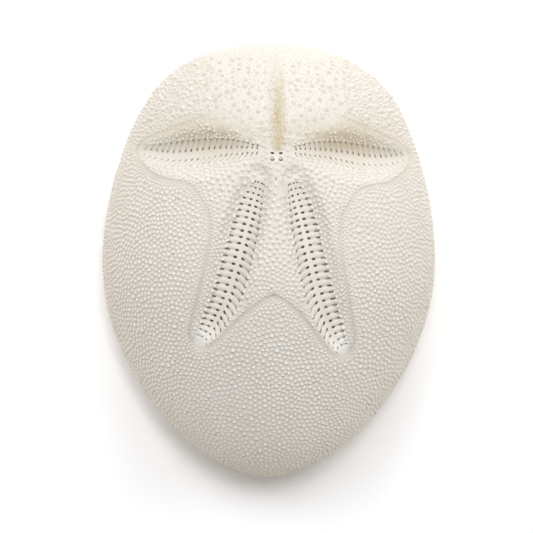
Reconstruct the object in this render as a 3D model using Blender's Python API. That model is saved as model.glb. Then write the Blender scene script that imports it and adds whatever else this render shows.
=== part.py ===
"""A heart urchin shell: the empty, bleached test of a spatangoid urchin, in one hollow piece.

It lies on its flat oral side. +Z is up, +Y is the front (the end with the frontal ambulacrum), and the
origin is on the floor under the middle. The wall encloses one hollow, which opens through the crescent
mouth (peristome) underneath and the oval vent (periproct) in the slanted rear face. The four petals are
pressed into the crown. Metres throughout.
"""

import bmesh
import bpy
import numpy as np
from mathutils import Matrix, Vector

# The egg: half sizes, the height of its crown, and the height of its widest line
HALF_LENGTH = 0.0500
HALF_WIDTH = 0.03845
CROWN_HEIGHT = 0.0493
RIM_HEIGHT = 0.0170
RIM_LIFT_REAR = 0.0110
RIM_LIFT_FRONT = 0.0020
KEEL_HEIGHT = 0.0009
KEEL_HALF_WIDTH = 0.0070
WALL = 0.0020

# The underside is drawn this far below the floor and cut off there, which leaves a flat to rest on
FOOT_CUT = 0.0009

# The rear face is an oblique flat that starts just under the tip of the tail
REAR_FACE_AT = Vector((0, -0.0504, 0.0250))
REAR_FACE_OUT = Vector((0, -0.940, -0.342)).normalized()
REAR_FACE_ROUND = 0.0020

# The right-hand petals: points of each axis (x, y), half width over the pores, and depth
FRONT_PETAL = (
    (0.0034, 0.0250),
    (0.0090, 0.0251),
    (0.0140, 0.0248),
    (0.0190, 0.0240),
    (0.0240, 0.0235),
    (0.0300, 0.0242),
)
FRONT_PETAL_HALF_WIDTH = 0.0034
FRONT_PETAL_DEPTH = 0.0026
REAR_PETAL = (
    (0.0033, 0.0186),
    (0.0056, 0.0122),
    (0.0083, 0.0002),
    (0.0099, -0.0062),
    (0.0120, -0.0120),
    (0.0155, -0.0190),
)
REAR_PETAL_HALF_WIDTH = 0.0034
REAR_PETAL_DEPTH = 0.0017
PETAL_FLOOR = 0.15  # share of the half width at which the petal's side starts to rise
PETAL_SHOULDER = 1.45  # share of the half width at which the side meets the crown
PETAL_NARROW_END = 0.35  # share of the half width left at the end by the apex

# The mouth, a crescent whose ends point to the rear, and the dip round it
MOUTH_AT = Vector((0, 0.0260, 0.0010))
MOUTH_HALF_SIZE = Vector((0.0080, 0.0036, 0.0120))
MOUTH_BEND = 60.0  # metres back for each square metre aside
MOUTH_DIP = 0.0014
MOUTH_DIP_HALF_SIZE = Vector((0.0120, 0.0080))

# The vent in the rear face
VENT_AT = Vector((0, -0.0468, 0.0190))
VENT_HALF_WIDTH = 0.0040
VENT_HALF_HEIGHT = 0.0052
VENT_CUT_DEPTH = 0.0160

OUTSIDE_CUTS, OUTSIDE_FRONT_PASSES = 15, 2  # cuts along a cube's edge, before it is made into a ball
HOLLOW_CUTS, HOLLOW_FRONT_PASSES = 9, 1
PETAL_FINE_TO = 1.9  # half widths from a petal's axis
CURVE_SAMPLES = 80


def step(low, high, value):
    """0 below low, 1 above high and smooth between."""
    t = np.clip((value - low) / (high - low), 0, 1)
    return t * t * (3 - 2 * t)


def smooth_line(points, count=CURVE_SAMPLES):
    """Points along a smooth curve through the given points (Catmull-Rom)."""
    given = np.array(points)
    padded = np.vstack([2 * given[0] - given[1], given, 2 * given[-1] - given[-2]])
    places = np.linspace(0, len(given) - 1 - 1e-9, count)
    spans = places.astype(int)
    t = (places - spans)[:, None]
    a, b, c, d = (padded[spans + i] for i in range(4))
    return 0.5 * (2 * b + (c - a) * t + (2 * a - 5 * b + 4 * c - d) * t**2 + (3 * b - a - 3 * c + d) * t**3)


def across_petal(x, y, axis, half_width):
    """How far x, y is from a right-hand petal's axis or its mirror image, in half widths, and its place along."""
    line = smooth_line(axis)
    apart = np.hypot(np.abs(x)[:, None] - line[:, 0], y[:, None] - line[:, 1])
    nearest = apart.argmin(axis=1)
    along = nearest / (len(line) - 1)
    width = half_width * (PETAL_NARROW_END + (1 - PETAL_NARROW_END) * step(0, 0.3, along))
    return apart[np.arange(len(x)), nearest] / width, along


def petal_dent(x, y, axis, half_width, depth):
    """How deep a right-hand petal and its mirror image press in at x, y."""
    across, along = across_petal(x, y, axis, half_width)
    return depth * step(PETAL_SHOULDER, PETAL_FLOOR, across) * (0.5 + 0.5 * step(0, 0.2, along))


def crown_dent(x, y):
    """The depth of all four petals at x, y."""
    front = petal_dent(x, y, FRONT_PETAL, FRONT_PETAL_HALF_WIDTH, FRONT_PETAL_DEPTH)
    rear = petal_dent(x, y, REAR_PETAL, REAR_PETAL_HALF_WIDTH, REAR_PETAL_DEPTH)
    return np.maximum(front, rear)


def rim_height(v):
    """The height of the widest line at v, from -1 at the tail to 1 at the front."""
    return RIM_HEIGHT + RIM_LIFT_REAR * step(-0.25, -1, v) + RIM_LIFT_FRONT * step(0.3, 1, v)


def egg(directions):
    """The plain egg, as one point for each direction from its middle: blunt in front, pointed behind."""
    across, v, up = directions.T
    front, above = v > 0, up > 0
    width = np.where(front, 1 + 0.35 * v**4, 1 - 0.175 * v**2 - 0.08 * v**16)
    fuller = np.where(above, 1 + 0.05 * up**2, 1 + 0.20 * up**2)
    x = HALF_WIDTH * width * fuller * across
    y = HALF_LENGTH * v
    rim = rim_height(v)
    crown = CROWN_HEIGHT - np.where(front, 0.001, 0.0025) * v**2 - rim
    crown = crown * np.where(front, 1 + 0.18 * v**4, 1)
    z_above = rim + crown * up * (1 + 0.06 * across**2)
    foot = (rim + FOOT_CUT) * np.where(front, 1 + 0.30 * v**4, 1 + 0.25 * v**2)
    z_below = rim + foot * up * (1 + 0.32 * across**2)
    keel = KEEL_HEIGHT * np.exp(-((x / KEEL_HALF_WIDTH) ** 2)) * step(0.014, -0.006, y) * step(-0.050, -0.038, y)
    z = np.where(above, z_above + keel * np.maximum(up, 0), z_below)
    return np.stack([x, y, z], axis=1)


def flatten_rear(points):
    """Everything behind the rear face moves forward onto it, with a rounded edge."""
    out = np.array(REAR_FACE_OUT)
    beyond = (points - np.array(REAR_FACE_AT)) @ out
    r = REAR_FACE_ROUND
    push = np.where(beyond > r, beyond, np.where(beyond < -r, 0, (beyond + r) ** 2 / (4 * r)))
    return points - push[:, None] * out


def test_surface(directions):
    """The outside of the test with its petals and the dip round the mouth."""
    points = flatten_rear(egg(directions))
    x, y = points[:, 0], points[:, 1]
    above = step(0, 0.35, directions[:, 2])
    inward = points * np.array([1 / HALF_WIDTH, 1 / HALF_LENGTH, 0]) * 0.5 - np.array([0, 0, 1])
    inward = inward * np.array([-1, -1, 1])
    inward /= np.linalg.norm(inward, axis=1, keepdims=True)
    points = points + (crown_dent(x, y) * above)[:, None] * inward
    aside, ahead = x / MOUTH_DIP_HALF_SIZE.x, (y - MOUTH_AT.y) / MOUTH_DIP_HALF_SIZE.y
    points[:, 2] += np.where(directions[:, 2] < 0, MOUTH_DIP * np.exp(-(aside**2) - ahead**2), 0)
    return points


def divide_petal(bm, axis, half_width, margin):
    """Halves the edges of a round ball's faces over a pair of petals, out to margin half widths."""
    directions = np.array([face.calc_center_median().normalized() for face in bm.faces])
    x, y, _ = egg(directions).T
    near = (across_petal(x, y, axis, half_width)[0] < margin) & (directions[:, 2] > 0)
    edges = {edge for face, wanted in zip(bm.faces, near) if wanted for edge in face.edges}
    bmesh.ops.subdivide_edges(bm, edges=list(edges), cuts=1, use_grid_fill=True)
    for vert in bm.verts:
        vert.co.normalize()


def closed_surface(cuts, front_passes):
    """A mesh of the outside, from a cube made into a ball, finer over the petals."""
    bm = bmesh.new()
    bmesh.ops.create_cube(bm, size=2)
    bmesh.ops.subdivide_edges(bm, edges=bm.edges, cuts=cuts, use_grid_fill=True)
    for vert in bm.verts:
        vert.co.normalize()
    divide_petal(bm, REAR_PETAL, REAR_PETAL_HALF_WIDTH, PETAL_FINE_TO)
    for _ in range(front_passes):
        divide_petal(bm, FRONT_PETAL, FRONT_PETAL_HALF_WIDTH, PETAL_FINE_TO)
    bmesh.ops.triangulate(bm, faces=bm.faces)
    places = test_surface(np.array([vert.co for vert in bm.verts]))
    for vert, place in zip(bm.verts, places):
        vert.co = place
    bm.normal_update()
    return bm


def outside():
    """The solid test: the surface, cut flat on the floor."""
    bm = closed_surface(OUTSIDE_CUTS, OUTSIDE_FRONT_PASSES)
    everything = bm.verts[:] + bm.edges[:] + bm.faces[:]
    cut = bmesh.ops.bisect_plane(bm, geom=everything, plane_co=(0, 0, 0), plane_no=(0, 0, -1), clear_outer=True)
    border = [edge for edge in cut["geom_cut"] if isinstance(edge, bmesh.types.BMEdge)]
    bmesh.ops.contextual_create(bm, geom=border)
    bmesh.ops.recalc_face_normals(bm, faces=bm.faces)
    return bm


def hollow():
    """The space inside: the same surface moved in by the wall."""
    bm = closed_surface(HOLLOW_CUTS, HOLLOW_FRONT_PASSES)
    for vert in bm.verts:
        vert.co -= vert.normal * WALL
        vert.co.z = max(vert.co.z, WALL)
    return bm


def mouth():
    """A flattened ball, bent into a crescent."""
    bm = bmesh.new()
    bmesh.ops.create_uvsphere(bm, u_segments=28, v_segments=14, radius=1)
    for vert in bm.verts:
        vert.co = vert.co * MOUTH_HALF_SIZE
        vert.co.y -= MOUTH_BEND * vert.co.x**2
        vert.co += MOUTH_AT
    return bm


def vent():
    """An oval rod square to the rear face."""
    bm = bmesh.new()
    size = Matrix.Diagonal((VENT_HALF_WIDTH, VENT_HALF_HEIGHT, VENT_CUT_DEPTH, 1))
    turn = REAR_FACE_OUT.to_track_quat("Z", "Y").to_matrix().to_4x4()
    place = Matrix.Translation(VENT_AT) @ turn @ size
    bmesh.ops.create_cone(bm, cap_ends=True, segments=28, radius1=1, radius2=1, depth=1, matrix=place)
    return bm


def new_object(name, bm, collection):
    mesh = bpy.data.meshes.new(name)
    bm.to_mesh(mesh)
    bm.free()
    mesh.shade_smooth()
    obj = bpy.data.objects.new(name, mesh)
    collection.objects.link(obj)
    return obj


def calcite():
    """Dry, bleached stereom: cream white and matt."""
    material = bpy.data.materials.new("bleached_calcite")
    material.use_nodes = True
    shader = material.node_tree.nodes["Principled BSDF"]
    shader.inputs["Base Color"].default_value = (0.80, 0.75, 0.66, 1)
    shader.inputs["Roughness"].default_value = 0.75
    shader.inputs["Metallic"].default_value = 0
    return material


def new_collection(name):
    collection = bpy.data.collections.new(name)
    bpy.context.scene.collection.children.link(collection)
    return collection


def cut(obj, name, bm, collection):
    """Cuts a shape out of the object and keeps the shape as a hidden cutter."""
    cutter = new_object(name, bm, collection)
    cutter.hide_render = True
    cutter.display_type = "WIRE"
    boolean = obj.modifiers.new(name, "BOOLEAN")
    boolean.operation = "DIFFERENCE"
    boolean.solver = "EXACT"
    boolean.object = cutter


def main():
    for obj in list(bpy.data.objects):
        bpy.data.objects.remove(obj, do_unlink=True)
    parts = new_collection("heart_urchin_shell")
    cutters = new_collection("cutters")
    test = new_object("test", outside(), parts)
    test.data.materials.append(calcite())
    cut(test, "hollow", hollow(), cutters)
    cut(test, "mouth", mouth(), cutters)
    cut(test, "vent", vent(), cutters)


main()
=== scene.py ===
"""Heart urchin shell: the finish of its surface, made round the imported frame.

The CAD node "test" is the whole shell. Its skin is made again as one closed surface that carries every
tubercle, pore and band, and is shared out over a few mesh pieces. +Y is the front and +Z is up. Shapes are
worked out in millimetres and turned into metres when the meshes are made.

A place on the skin is named by a direction, a unit vector (across, v, up) seen from the middle of the egg.
Most functions take points of the ground and the "up" of their directions, which is above 0 on the crown. The
x and y in them are millimetres on the plan, seen from above.
"""

import math

import bpy
import numpy as np
from mathutils import Matrix, Vector
from mathutils.geometry import delaunay_2d_cdt
from mathutils.kdtree import KDTree


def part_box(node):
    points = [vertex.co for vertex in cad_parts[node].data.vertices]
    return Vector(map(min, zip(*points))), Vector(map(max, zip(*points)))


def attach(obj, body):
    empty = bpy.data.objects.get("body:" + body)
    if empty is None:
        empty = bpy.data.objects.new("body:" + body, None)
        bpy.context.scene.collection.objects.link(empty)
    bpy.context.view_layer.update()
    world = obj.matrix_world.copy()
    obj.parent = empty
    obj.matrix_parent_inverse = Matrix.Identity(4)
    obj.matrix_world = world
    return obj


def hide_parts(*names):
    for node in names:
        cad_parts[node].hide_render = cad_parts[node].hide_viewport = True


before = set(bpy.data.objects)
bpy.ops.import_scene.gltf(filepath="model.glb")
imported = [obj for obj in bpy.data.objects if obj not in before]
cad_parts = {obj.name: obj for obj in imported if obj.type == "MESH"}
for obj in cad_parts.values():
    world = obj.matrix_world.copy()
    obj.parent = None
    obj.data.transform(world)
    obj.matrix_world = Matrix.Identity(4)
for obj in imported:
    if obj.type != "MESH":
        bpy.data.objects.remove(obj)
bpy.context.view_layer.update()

MM = 1000.0
NODE = "test"
LOW, HIGH = (np.array(corner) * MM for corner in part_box(NODE))
rng = np.random.default_rng(11)

# ---- The egg, the same form as the frame's ----
HALF_WIDTH = (HIGH[0] - LOW[0]) / 2
HALF_LENGTH = (HIGH[1] - LOW[1]) / 2
KEEL_HEIGHT = 0.9
KEEL_HALF_WIDTH = 7.0
CROWN_HEIGHT = HIGH[2] - 0.8
RIM_HEIGHT = 17.0
RIM_LIFT_REAR = 11.0
RIM_LIFT_FRONT = 2.0
FOOT_CUT = 0.9
REAR_FACE_AT = np.array([0, -50.4, 25.0])
REAR_FACE_OUT = np.array([0, -0.940, -0.342])
REAR_FACE_ROUND = 2.0
WALL = 2.0
SKIN = 0.42  # the ground between the tubercles lies this far inside the frame's outline
INSET_MIDDLE = np.array([0, 0, HIGH[2] / 2])
INSET = 1 - SKIN / np.array([HALF_WIDTH, HALF_LENGTH, HIGH[2] / 2])
SOLE_BLEND = 0.4  # how gradually the sides turn into the flat sole
FLOOR_GAP = 0.01  # nothing reaches below this height

MOUTH_AT = np.array([0, 26.0])
MOUTH_HALF_SIZE = np.array([8.0, 3.6])
MOUTH_BEND = 0.060
MOUTH_DIP = 1.4
MOUTH_DIP_HALF_SIZE = np.array([12.0, 8.0])
LIP_HEIGHT = 0.9
LABRUM = 3.8  # how far the thickened rear edge of the mouth rises inside
LABRUM_ROWS = (0.5, 1.1, 1.8, 2.6, 3.5, 4.5)
VENT_AT = np.array([0, -46.8, 19.0])
VENT_UP = np.array([0, -0.342, 0.940])
VENT_HALF_SIZE = np.array([4.0, 5.2])

# ---- Markings on the plan, drawn for the right-hand side ----
LEFT_LOBE_SHORTER = 1.3
BARE_MARGIN = 0.5  # the strip without tubercles beside a petal's pores
# The band (fasciole) from where it fades in at the front, round the front petal, to the notch behind
BAND = [
    (11.0, 33.8), (15.0, 33.0), (19.5, 31.3), (24.2, 29.4), (28.8, 27.3), (31.2, 25.2), (31.1, 22.6),
    (29.4, 20.2), (26.7, 18.3), (22.0, 17.3), (19.3, 16.2), (17.2, 13.5), (15.4, 10.0), (15.0, 5.0),
    (15.8, -1.0), (17.2, -8.0), (18.4, -14.5), (18.9, -18.0), (17.8, -21.0), (15.8, -21.8), (13.2, -20.5),
    (9.8, -16.5), (5.9, -12.1), (2.2, -9.2), (0.0, -8.3),
]
BAND_HALF_WIDTH = 0.54
BAND_FADES_IN = 6.0
STRIPE_HALF_WIDTH = 1.7
STRIPE_FROM, STRIPE_TO = 25.4, 47.0
SHIELD_AT, SHIELD_HALF_SIZE = np.array([0, 21.3]), np.array([2.9, 2.9])
APICAL_AT = np.array([0.95, 24.0])
OPEN_PORE_AT, PLUG_AT = (0.97, 24.45), (0.97, 23.15)
# Tiny brown pores: a place on the plan and a size
SPECKS = (
    (-0.1, 18.5, 0.20), (1.45, 18.6, 0.13), (-1.3, 18.6, 0.12), (-2.1, 20.1, 0.14), (-2.5, 20.5, 0.14),
    (2.1, 20.15, 0.13), (3.5, 19.9, 0.15), (-22.7, 13.2, 0.16), (-22.3, 13.5, 0.11), (-23.0, 0.8, 0.15),
    (-3.3, -29.0, 0.13), (-18.4, 44.3, 0.12), (-22.0, 37.6, 0.13), (-12.0, 28.2, 0.12), (-4.0, -46.0, 0.12),
    (12.4, 38.7, 0.10), (-2.6, 41.4, 0.12),
)

# ---- Tubercles: distances between neighbours, sizes in shares of those distances ----
USUAL_PITCH, FRONT_PITCH, BAND_PITCH = 1.15, 1.12, 0.80
BEAD_RADIUS, SOFT_BEAD_RADIUS = 0.255, 0.27
PRIMARY_GAP, PRIMARY_RADIUS = 1.6, 0.36  # millimetres
NOWHERE = 60.0  # the pitch where there are none
DISH = 2.1  # a dish's width, in radii of its boss
LOW_HEIGHT = 0.36  # the tallest tubercle of the underside

# ---- Mesh: numbers of points and small distances ----
SCATTERED = 130000
RIM_POINTS, MOUTH_POINTS, VENT_POINTS = 900, 110, 80
INNER_POINTS, INNER_RIM_POINTS = 7000, 260
HEX_ROW = 0.866  # from one line of a hexagonal grid to the next, in spacings
NUDGE = 2e-4  # the small turn that slopes are measured over
LONGEST_TURN = 0.1
SOLVER_STEPS = 12
RELAXING_TURNS, TOUCHING, PUSH = 30, 0.58, 0.32
CLEAR_OF_BEAD = 1.14  # in radii of the bead
CLEAR_OF_RIM, CLEAR_OF_HOLE = 0.004, 0.2
CELL = 0.13  # of two loose points in one cell, one is dropped
FRONT_PIECE_FROM = 15  # y

# ---- Colours, light and camera ----
GROUND_COLOUR = (0.80, 0.775, 0.728, 1)
WARM_COLOUR = (0.74, 0.68, 0.58, 1)
BEAD_COLOUR = (0.95, 0.94, 0.91, 1)
# Painted shade for the pits, dishes and furrows, and the band's own tone
PIT_SHADE_AND_BAND_COLOUR = (0.60, 0.55, 0.46, 1)
# The frontal stripe's stain, and painted shade on the slopes in front of the front petals
STAIN_AND_SHADE_COLOUR = (0.54, 0.43, 0.24, 1)
PORE_COLOUR = (0.17, 0.092, 0.016, 1)
GRAIN = 2700.0  # cells of the stereom per metre
WORLD_STRENGTH = 0.08
WORLD_COLOUR = (1, 0.84, 0.66, 1)
WHITE = (1, 1, 1, 1)
FLOOR_BOUNCE = (1.62, 1.52, 1.42, 1)
FLOOR_SEEN = (1.17, 1.195, 1.235, 1)
FLOOR_HALF_SIZE = 8.0
SOFTBOX_DISTANCE = 1.3
# Name, height above the floor and turn from the front in degrees, width in metres, power in watts
SOFTBOXES = (
    ("overhead", 85, 0, 0.2, 3.8),
    ("front_left", 70, -45, 0.5, 5.0),
    ("front_right", 70, 45, 0.5, 3.0),
    ("low_front", 25, 0, 0.6, 3.5),
    ("low_left", 25, -65, 0.6, 1.7),
    ("low_right", 25, 68, 0.6, 3.4),
)
CAMERA_TILT, CAMERA_LEAN = math.radians(2.6), math.radians(1.3)
CAMERA_TARGET, CAMERA_DISTANCE = Vector((-0.00061, -0.00151, 0.020)), 4.0
PICTURE_WIDTH = 0.1225
SENSOR = 36


# ---- Numbers and lines ----
def step(low, high, value):
    """0 at low, 1 at high and smooth between."""
    t = np.clip((value - low) / (high - low), 0, 1)
    return t * t * (3 - 2 * t)


def bump(value, middle, width):
    return np.exp(-(((value - middle) / width) ** 2))


def unit(vectors):
    return vectors / np.linalg.norm(vectors, axis=1, keepdims=True)


def cross_flat(a, b):
    return a[:, 0] * b[:, 1] - a[:, 1] * b[:, 0]


def travel(line):
    """How far along a line each of its points is."""
    return np.concatenate([[0], np.cumsum(np.linalg.norm(np.diff(line, axis=0), axis=1))])


def value_at(curve, s):
    return np.interp(s, curve[:, 0], curve[:, 1])


def smooth_line(points, spacing):
    """Even points along a smooth curve through the given points (Catmull-Rom)."""
    given = np.array(points, dtype=float)
    padded = np.vstack([2 * given[0] - given[1], given, 2 * given[-1] - given[-2]])
    places = np.linspace(0, len(given) - 1 - 1e-9, 40 * len(given))
    spans = places.astype(int)
    t = (places - spans)[:, None]
    a, b, c, d = (padded[spans + i] for i in range(4))
    line = 0.5 * (2 * b + (c - a) * t + (2 * a - 5 * b + 4 * c - d) * t**2 + (3 * b - a - 3 * c + d) * t**3)
    far = travel(line)
    even = np.linspace(0, far[-1], max(2, int(far[-1] / spacing)))
    return np.stack([np.interp(even, far, column) for column in line.T], axis=1)


def along_line(line, points, chunk=20000):
    """For each point: its distance from the line, how far along that is, the nearest place and its run."""
    run = np.diff(line, axis=0)
    length = np.linalg.norm(run, axis=1)
    far = travel(line)
    width = line.shape[1]
    found = [np.zeros((0, 2 + 2 * width))]
    for first in range(0, len(points), chunk):
        p = points[first : first + chunk]
        nearest_end = ((line**2).sum(1) - 2 * p @ line.T).argmin(axis=1)
        rows = []
        for k in (np.clip(nearest_end - 1, 0, len(run) - 1), np.clip(nearest_end, 0, len(run) - 1)):
            t = np.clip(((p - line[k]) * run[k]).sum(1) / length[k] ** 2, 0, 1)
            place = line[k] + t[:, None] * run[k]
            apart = np.linalg.norm(p - place, axis=1)
            rows.append(np.column_stack([apart, far[k] + t * length[k], place, run[k]]))
        before, after = rows
        found.append(np.where(after[:, :1] < before[:, :1], after, before))
    best = np.vstack(found)
    return best[:, 0], best[:, 1], best[:, 2 : 2 + width], best[:, 2 + width :]


# ---- The egg and its hollows ----
def egg(directions):
    """The plain egg: blunt in front, pointed behind, with a low keel. The shares are the frame's own."""
    across, v, up = directions.T
    front, above = v > 0, up > 0
    width = np.where(front, 1 + 0.35 * v**4, 1 - 0.175 * v**2 - 0.08 * v**16)
    fuller = np.where(above, 1 + 0.05 * up**2, 1 + 0.20 * up**2)
    x = HALF_WIDTH * width * fuller * across
    y = HALF_LENGTH * v
    rim = RIM_HEIGHT + RIM_LIFT_REAR * step(-0.25, -1, v) + RIM_LIFT_FRONT * step(0.3, 1, v)
    crown = CROWN_HEIGHT - np.where(front, 1.0, 2.5) * v**2 - rim
    crown = crown * np.where(front, 1 + 0.18 * v**4, 1)
    foot = (rim + FOOT_CUT) * np.where(front, 1 + 0.30 * v**4, 1 + 0.25 * v**2)
    keel = KEEL_HEIGHT * bump(x, 0, KEEL_HALF_WIDTH) * step(14, -6, y) * step(-50, -38, y)
    z_above = rim + crown * up * (1 + 0.06 * across**2) + keel * np.maximum(up, 0)
    z_below = rim + foot * up * (1 + 0.32 * across**2)
    return np.stack([x, y, np.where(above, z_above, z_below)], axis=1)


def flatten_rear(points):
    """Everything behind the rear face moves forward onto it, with a rounded edge."""
    out = REAR_FACE_OUT / np.linalg.norm(REAR_FACE_OUT)
    beyond = (points - REAR_FACE_AT) @ out
    r = REAR_FACE_ROUND
    push = np.where(beyond > r, beyond, np.where(beyond < -r, 0, (beyond + r) ** 2 / (4 * r)))
    return points - push[:, None] * out


def plan(points):
    """The place on the right-hand plan that a point of either side takes after."""
    x, y = points[:, 0], points[:, 1]
    shorter = LEFT_LOBE_SHORTER * step(-8, -20, y) * (x < 0)
    return np.stack([np.abs(x), y - shorter], axis=1)


class Petal:
    """A petal's axis from the apex outwards, and what it is like at the stops, from 0 to 1 along it.

    Distances from the axis are positive on its outer side: forward of a front petal, aside of a rear one. Rows
    are the four rows of pores from the outer edge to the inner one, limits the edges of the hollow, and lean is
    how much further along than its inner pore a pair's outer pore lies, on the outer and on the inner side.
    """

    def __init__(self, axis, stops, rows, lean, limits, depth, **rest):
        self.line = smooth_line(axis, 0.5)
        self.length = np.linalg.norm(np.diff(self.line, axis=0), axis=1).sum()
        self.rows, self.lean, self.limits, (self.depth,) = (
            [smooth_line(list(zip(stops, row)), 0.01) for row in table]
            for table in (rows, lean, limits, [depth])
        )
        vars(self).update(rest)

    def coordinates(self, flat):
        """How far along (0 to 1) and how far aside each place on the plan is."""
        apart, far, place, run = along_line(self.line, flat)
        return far / self.length, np.where(self.aside(flat, place, run) > 0, apart, -apart)

    def aside(self, flat, place, run):
        """How far each place is on the outer side of the axis, square to it."""
        return cross_flat(run, flat - place) / np.linalg.norm(run, axis=1)

    def drop(self, flat):
        """The depth of the petal's hollow; round its ends the width changes gradually."""
        apart, far, place, run = along_line(self.line, flat)
        s = far / self.length
        outward = 0.5 + 0.5 * (self.aside(flat, place, run) / np.maximum(apart, 1e-9))
        outer, inner = value_at(self.limits[0], s), -value_at(self.limits[1], s)
        wide = inner + (outer - inner) * outward
        level = self.floor[0] + (self.floor[1] - self.floor[0]) * outward
        return value_at(self.depth, s) * step(wide, level * wide, apart)

    def bare(self, flat):
        """Distance outside the part that has no tubercles, negative inside it, and how far along that is."""
        s, t = self.coordinates(flat)
        outer = value_at(self.rows[0], s) + BARE_MARGIN
        inner = value_at(self.rows[3], s) - BARE_MARGIN
        return np.where(t > 0, t - outer, inner - t), s

    def pair_place(self, k):
        """Where the pair with this number is, from 0 to 1. Pairs crowd together towards the apex."""
        t = (k + 0.5) / self.pairs
        return t - 0.045 * math.sin(math.pi * t) * (1 - t)

    def place(self, s, t):
        """The place on the plan at s along the axis and t aside."""
        here = np.clip(s, 0, 1) * (len(self.line) - 1)
        k = int(min(here, len(self.line) - 2))
        run = self.line[k + 1] - self.line[k]
        ahead = run / np.linalg.norm(run)
        beyond = (s - np.clip(s, 0, 1)) * self.length
        return self.line[k] + run * (here - k) + ahead * beyond + t * np.array([-ahead[1], ahead[0]])


FRONT = Petal(
    axis=[(3.9, 25.0), (9.0, 24.7), (14.9, 24.2), (20.0, 23.6), (25.2, 23.5), (30.2, 24.3)],
    stops=[0, 0.12, 0.3, 0.5, 0.7, 0.88, 1],
    rows=[
        [0.8, 1.8, 2.8, 3.05, 2.95, 2.1, 1.0],
        [0.45, 0.75, 1.0, 1.0, 0.85, 0.8, 0.5],
        [-0.45, -0.6, -0.75, -1.1, -1.2, -1.0, -0.6],
        [-0.9, -1.4, -1.9, -2.35, -2.5, -2.0, -1.1],
    ],
    lean=[[-0.1, -0.3, -0.6, -0.7, -0.7, -0.5, -0.2], [0.2, 0.6, 1.4, 1.75, 1.75, 1.2, 0.4]],
    limits=[[2.0, 3.8, 5.8, 6.6, 5.9, 4.2, 2.4], [-1.8, -3.3, -5.2, -5.9, -5.7, -4.3, -2.4]],
    depth=[0.25, 1.1, 3.1, 3.8, 3.5, 2.4, 1.0],
    floor=(0.10, 0.10),  # how wide the hollow's floor is, inwards and outwards
    pairs=21,
    grown=((0.14, -0.06), (0.13, -0.05)),  # how much longer and wider the outer and the inner pores grow
    dark=(0.5, 0.8, 0.7, 0.42),
    ridge=0.19,
)
REAR = Petal(
    axis=[
        (3.5, 18.2), (4.75, 13.9), (6.1, 8.5), (7.5, 2.6),
        (9.1, -3.6), (11.0, -10.1), (13.7, -16.4), (15.9, -20.2),
    ],
    stops=[0, 0.1, 0.25, 0.45, 0.65, 0.85, 1],
    rows=[
        [0.8, 2.2, 3.0, 3.15, 3.1, 2.7, 1.4],
        [0.35, 0.68, 0.82, 0.9, 0.87, 0.8, 0.55],
        [-0.35, -0.62, -0.78, -0.85, -0.85, -0.8, -0.45],
        [-0.75, -1.6, -2.3, -2.7, -2.75, -2.1, -1.0],
    ],
    lean=[[0.0, 0.1, 0.2, 0.2, 0.2, 0.2, 0.1], [0.1, 0.3, 0.4, 0.7, 1.0, 1.3, 0.8]],
    limits=[[5.0, 5.8, 6.6, 6.9, 6.6, 5.5, 3.0], [-3.2, -4.2, -4.7, -4.7, -4.4, -3.4, -1.9]],
    depth=[1.1, 2.6, 3.1, 2.9, 2.5, 1.6, 0.6],
    floor=(0.12, 0.40),
    pairs=26,
    grown=((0.36, 0.02), (0.24, 0.06)),
    dark=(0.85, 1.0, 1.0, 0.85),
    ridge=0.16,
)
PETALS = (FRONT, REAR)
# For the outer and the inner side of a petal: +1 or -1, the row of its outer pores and that of its inner ones
PETAL_SIDES = ((1, 0, 1), (-1, 3, 2))


def petal_drop(points, up):
    """The depth of all four petals at each point."""
    drop = np.zeros(len(points))
    x, y = points[:, 0], points[:, 1]
    near = np.flatnonzero((up > 0.05) & (y > -26) & (y < 33) & (np.abs(x) < 36))
    flat = plan(points[near])
    for petal in PETALS:
        drop[near] = np.maximum(drop[near], petal.drop(flat))
    return drop


UNDULATIONS = [(rng.normal(size=3) * 0.9, rng.uniform(0, 6.28)) for _ in range(7)]


def undulation(points):
    """The slight unevenness of plates that grew."""
    return sum(np.sin(points @ wave + phase) for wave, phase in UNDULATIONS) / len(UNDULATIONS)


def ahead_of_mouth(points):
    """How far in front of the mouth's bent middle line a point is."""
    return points[:, 1] - MOUTH_AT[1] + MOUTH_BEND * points[:, 0] ** 2


def mouth_distance(points):
    """Roughly how far outside the mouth's edge a point of the underside is."""
    scaled = np.hypot(points[:, 0] / MOUTH_HALF_SIZE[0], ahead_of_mouth(points) / MOUTH_HALF_SIZE[1])
    return (scaled - 1) * MOUTH_HALF_SIZE[1]


def vent_distance(points):
    """Roughly how far outside the vent's edge a point of the rear is."""
    height = (points - VENT_AT) @ VENT_UP
    scaled = np.hypot(points[:, 0] / VENT_HALF_SIZE[0], height / VENT_HALF_SIZE[1])
    return np.where(points[:, 1] < -38, (scaled - 1) * VENT_HALF_SIZE[0], 99.0)


def ground(directions):
    """The skin without its tubercles and pores."""
    up = directions[:, 2]
    p = INSET_MIDDLE + (flatten_rear(egg(directions)) - INSET_MIDDLE) * INSET
    lift = (p[:, 2] - SKIN) / SOLE_BLEND
    softened = np.where(lift > 20, lift, np.log1p(np.exp(np.minimum(lift, 20))))
    p[:, 2] = SKIN + SOLE_BLEND * softened - SOLE_BLEND * math.log(2)
    aside = (p[:, :2] - MOUTH_AT) / MOUTH_DIP_HALF_SIZE
    p[:, 2] += np.where(up < 0, MOUTH_DIP * np.exp(-(aside**2).sum(1)), 0)
    lip = bump(mouth_distance(p), 0.6, 1.0) * step(MOUTH_AT[1] - 1, MOUTH_AT[1] - 4, p[:, 1])
    p[:, 2] -= np.where(up < 0, LIP_HEIGHT * lip, 0)
    p[:, 2] = np.maximum(p[:, 2], SKIN)
    p[:, 2] -= petal_drop(p, up)
    return p


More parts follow.
